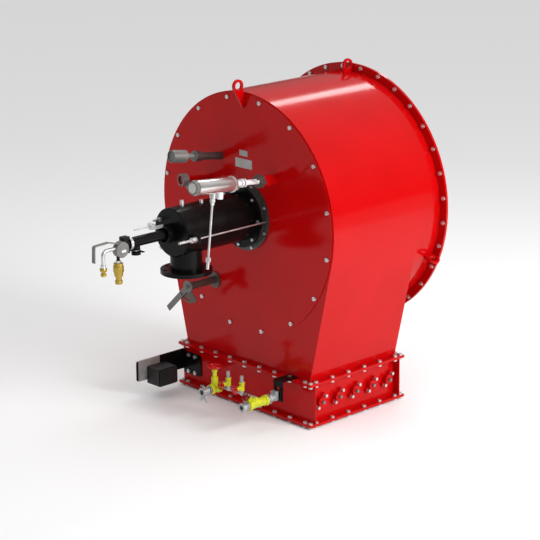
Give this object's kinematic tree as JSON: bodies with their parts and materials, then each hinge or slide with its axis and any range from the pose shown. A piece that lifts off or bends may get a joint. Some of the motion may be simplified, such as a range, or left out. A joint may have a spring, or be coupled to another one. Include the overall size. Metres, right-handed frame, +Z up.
{
  "type": "industrial burner",
  "caption": "Dual fuel burner with a round windbox, damper box below, gas housing with oil lance, igniter, scanner, valves and damper linkage",
  "frame": {"origin": "centre of the rear flange's mounting face, on the burner axis", "axes": "+Y along the burner axis into the boiler, +Z up, +X to the right seen from the front"},
  "size_m": [1.6398, 2.16, 2.094],
  "materials": {
    "actuator": "matt black housing",
    "actuator_crank": "zinc plated steel",
    "actuator_mounting_plate": "zinc plated steel",
    "air_shutter": "bare steel",
    "air_throat": "bare steel",
    "bearing_screws": "zinc plated steel",
    "blank_plates": "bare aluminium",
    "damper_bearings": "gloss red paint",
    "damper_blade_1": "bare steel",
    "damper_blade_2": "bare steel",
    "damper_blade_3": "bare steel",
    "damper_blade_4": "bare steel",
    "damper_blade_5": "bare steel",
    "damper_box": "gloss red paint",
    "duct_counter_flange": "gloss red paint",
    "flange_screws": "zinc plated steel",
    "front_cover": "gloss red paint",
    "fuel_pipe": "zinc plated steel",
    "fuel_pipework": "zinc plated steel",
    "gas_housing": "satin black paint",
    "gas_inlet_flange": "satin black paint",
    "gas_pipe": "bare steel",
    "hose_couplers": "zinc plated steel",
    "housing_end_plate": "satin black paint",
    "housing_fittings": "zinc plated steel",
    "housing_ring": "machined grey metal",
    "housing_screws": "zinc plated steel",
    "igniter_case": "satin aluminium",
    "igniter_clamp": "zinc plated steel",
    "igniter_lance": "zinc plated steel",
    "igniter_lever": "satin black paint",
    "igniter_socket": "gloss red paint",
    "lance_couplings": "brass",
    "lance_handle": "zinc plated steel",
    "lance_head": "satin black paint",
    "lance_knob": "satin black paint",
    "lance_tube": "satin black paint",
    "lifting_lugs": "gloss red paint",
    "link_bar": "zinc plated steel",
    "oil_handwheel": "red handwheel",
    "oil_nozzle": "brass",
    "oil_valve": "brass",
    "pilot_pipe": "zinc plated steel",
    "quadrant": "zinc plated steel",
    "quadrant_lever": "zinc plated steel",
    "rear_flange": "gloss red paint",
    "rear_flange_bolts": "zinc plated steel",
    "scanner_head": "grey housing",
    "scanner_tube": "zinc plated steel",
    "setting_rod": "zinc plated steel",
    "sight_glass": "clear glass",
    "sight_tube": "zinc plated steel",
    "steam_handwheel": "dark red handwheel",
    "steam_valve": "brass",
    "steel_brackets": "satin black paint",
    "swirler": "bare steel",
    "trim_handwheel_left": "red handwheel",
    "trim_handwheel_right": "red handwheel",
    "trim_valves": "brass",
    "windbox_shell": "gloss red paint"
  },
  "bodies": {
    "burner": {"actuator": "actuator", "actuator_mounting_plate": "actuator_mounting_plate", "air_throat": "air_throat", "bearing_screws": "bearing_screws", "blank_plates": "blank_plates", "damper_bearings": "damper_bearings", "damper_box": "damper_box", "duct_counter_flange": "duct_counter_flange", "flange_screws": "flange_screws", "front_cover": "front_cover", "fuel_pipework": "fuel_pipework", "gas_housing": "gas_housing", "gas_inlet_flange": "gas_inlet_flange", "gas_pipe": "gas_pipe", "hose_couplers": "hose_couplers", "housing_end_plate": "housing_end_plate", "housing_fittings": "housing_fittings", "housing_ring": "housing_ring", "housing_screws": "housing_screws", "igniter_clamp": "igniter_clamp", "igniter_socket": "igniter_socket", "lifting_lugs": "lifting_lugs", "oil_valve": "oil_valve", "quadrant": "quadrant", "rear_flange": "rear_flange", "rear_flange_bolts": "rear_flange_bolts", "scanner_head": "scanner_head", "scanner_tube": "scanner_tube", "sight_glass": "sight_glass", "sight_tube": "sight_tube", "steam_valve": "steam_valve", "steel_brackets": "steel_brackets", "trim_valves": "trim_valves", "windbox_shell": "windbox_shell"},
    "actuator_crank": {"actuator_crank": "actuator_crank"},
    "link_bar": {"link_bar": "link_bar"},
    "air_shutter": {"air_shutter": "air_shutter"},
    "quadrant_lever": {"quadrant_lever": "quadrant_lever"},
    "swirler_set": {"swirler": "swirler", "setting_rod": "setting_rod"},
    "lance": {"lance_tube": "lance_tube", "oil_nozzle": "oil_nozzle", "lance_head": "lance_head", "lance_couplings": "lance_couplings", "lance_handle": "lance_handle", "fuel_pipe": "fuel_pipe"},
    "lance_knob": {"lance_knob": "lance_knob"},
    "igniter": {"igniter_lance": "igniter_lance", "igniter_case": "igniter_case", "pilot_pipe": "pilot_pipe"},
    "igniter_lever": {"igniter_lever": "igniter_lever"},
    "oil_handwheel": {"oil_handwheel": "oil_handwheel"},
    "steam_handwheel": {"steam_handwheel": "steam_handwheel"},
    "trim_handwheel_left": {"trim_handwheel_left": "trim_handwheel_left"},
    "trim_handwheel_right": {"trim_handwheel_right": "trim_handwheel_right"},
    "damper_1": {"damper_blade_1": "damper_blade_1"},
    "damper_2": {"damper_blade_2": "damper_blade_2"},
    "damper_3": {"damper_blade_3": "damper_blade_3"},
    "damper_4": {"damper_blade_4": "damper_blade_4"},
    "damper_5": {"damper_blade_5": "damper_blade_5"}
  },
  "joints": [
    {"name": "actuator_turn", "type": "hinge", "parent": "burner", "child": "actuator_crank", "pos_m": [-0.6, -1.203, -1.087], "axis": [-1, 0, 0], "range_deg": [0, 90]},
    {"name": "damper_turn_1", "type": "hinge", "parent": "burner", "child": "damper_1", "pos_m": [0, -0.866, -1.087], "axis": [-1, 0, 0], "range_deg": [0, 90]},
    {"name": "damper_turn_2", "type": "hinge", "parent": "burner", "child": "damper_2", "pos_m": [0, -0.719, -1.087], "axis": [-1, 0, 0], "range_deg": [0, 90]},
    {"name": "damper_turn_3", "type": "hinge", "parent": "burner", "child": "damper_3", "pos_m": [0, -0.572, -1.087], "axis": [-1, 0, 0], "range_deg": [0, 90]},
    {"name": "damper_turn_4", "type": "hinge", "parent": "burner", "child": "damper_4", "pos_m": [0, -0.425, -1.087], "axis": [-1, 0, 0], "range_deg": [0, 90]},
    {"name": "damper_turn_5", "type": "hinge", "parent": "burner", "child": "damper_5", "pos_m": [0, -0.278, -1.087], "axis": [-1, 0, 0], "range_deg": [0, 90]},
    {"name": "link_turn", "type": "hinge", "parent": "damper_3", "child": "link_bar", "pos_m": [-0.62, -0.61584, -1.04316], "axis": [-1, 0, 0], "range_deg": [-90, 0]},
    {"name": "quadrant_turn", "type": "hinge", "parent": "burner", "child": "quadrant_lever", "pos_m": [-0.285, -1.172, -0.473], "axis": [0, -1, 0], "range_deg": [0, 50]},
    {"name": "shutter_turn", "type": "hinge", "parent": "burner", "child": "air_shutter", "pos_m": [0, -0.24, 0], "axis": [0, -1, 0], "range_deg": [-15, 0]},
    {"name": "swirler_slide", "type": "slide", "parent": "burner", "child": "swirler_set", "axis": [0, -1, 0], "range_m": [-0.06, 0.08]},
    {"name": "lance_slide", "type": "slide", "parent": "burner", "child": "lance", "axis": [0, -1, 0], "range_m": [0, 0.5]},
    {"name": "knob_turn", "type": "hinge", "parent": "lance", "child": "lance_knob", "pos_m": [0, -1.816, -0.06], "axis": [0, 0, 1], "range_deg": [0, 90]},
    {"name": "igniter_lever_turn", "type": "hinge", "parent": "burner", "child": "igniter_lever", "pos_m": [0.3322, -1.08705, 0.2862], "axis": [0.9923, 0.124, -0.0077], "range_deg": [0, 90]},
    {"name": "igniter_slide", "type": "slide", "parent": "burner", "child": "igniter", "axis": [0.124, -0.9845, 0.124], "range_m": [0, 0.15]},
    {"name": "oil_wheel_turn", "type": "hinge", "parent": "burner", "child": "oil_handwheel", "pos_m": [0.04, -1.253, -0.897], "axis": [0, 0, 1], "range_deg": [0, 720]},
    {"name": "steam_wheel_turn", "type": "hinge", "parent": "burner", "child": "steam_handwheel", "pos_m": [0.4, -1.32018, -0.98082], "axis": [0, -0.7071, 0.7071], "range_deg": [0, 720]},
    {"name": "trim_wheel_left_turn", "type": "hinge", "parent": "burner", "child": "trim_handwheel_left", "pos_m": [0.105, -1.26, -1.003], "axis": [0, -1, 0], "range_deg": [0, 720]},
    {"name": "trim_wheel_right_turn", "type": "hinge", "parent": "burner", "child": "trim_handwheel_right", "pos_m": [0.228, -1.26, -1.003], "axis": [0, -1, 0], "range_deg": [0, 720]}
  ],
  "couplings": [
    {"joint": "damper_turn_1", "follows": "actuator_turn", "ratio": 1},
    {"joint": "damper_turn_2", "follows": "actuator_turn", "ratio": 1},
    {"joint": "damper_turn_3", "follows": "actuator_turn", "ratio": 1},
    {"joint": "damper_turn_4", "follows": "actuator_turn", "ratio": 1},
    {"joint": "damper_turn_5", "follows": "actuator_turn", "ratio": 1},
    {"joint": "link_turn", "follows": "actuator_turn", "ratio": -1},
    {"joint": "shutter_turn", "follows": "quadrant_turn", "ratio": -0.2945}
  ]
}
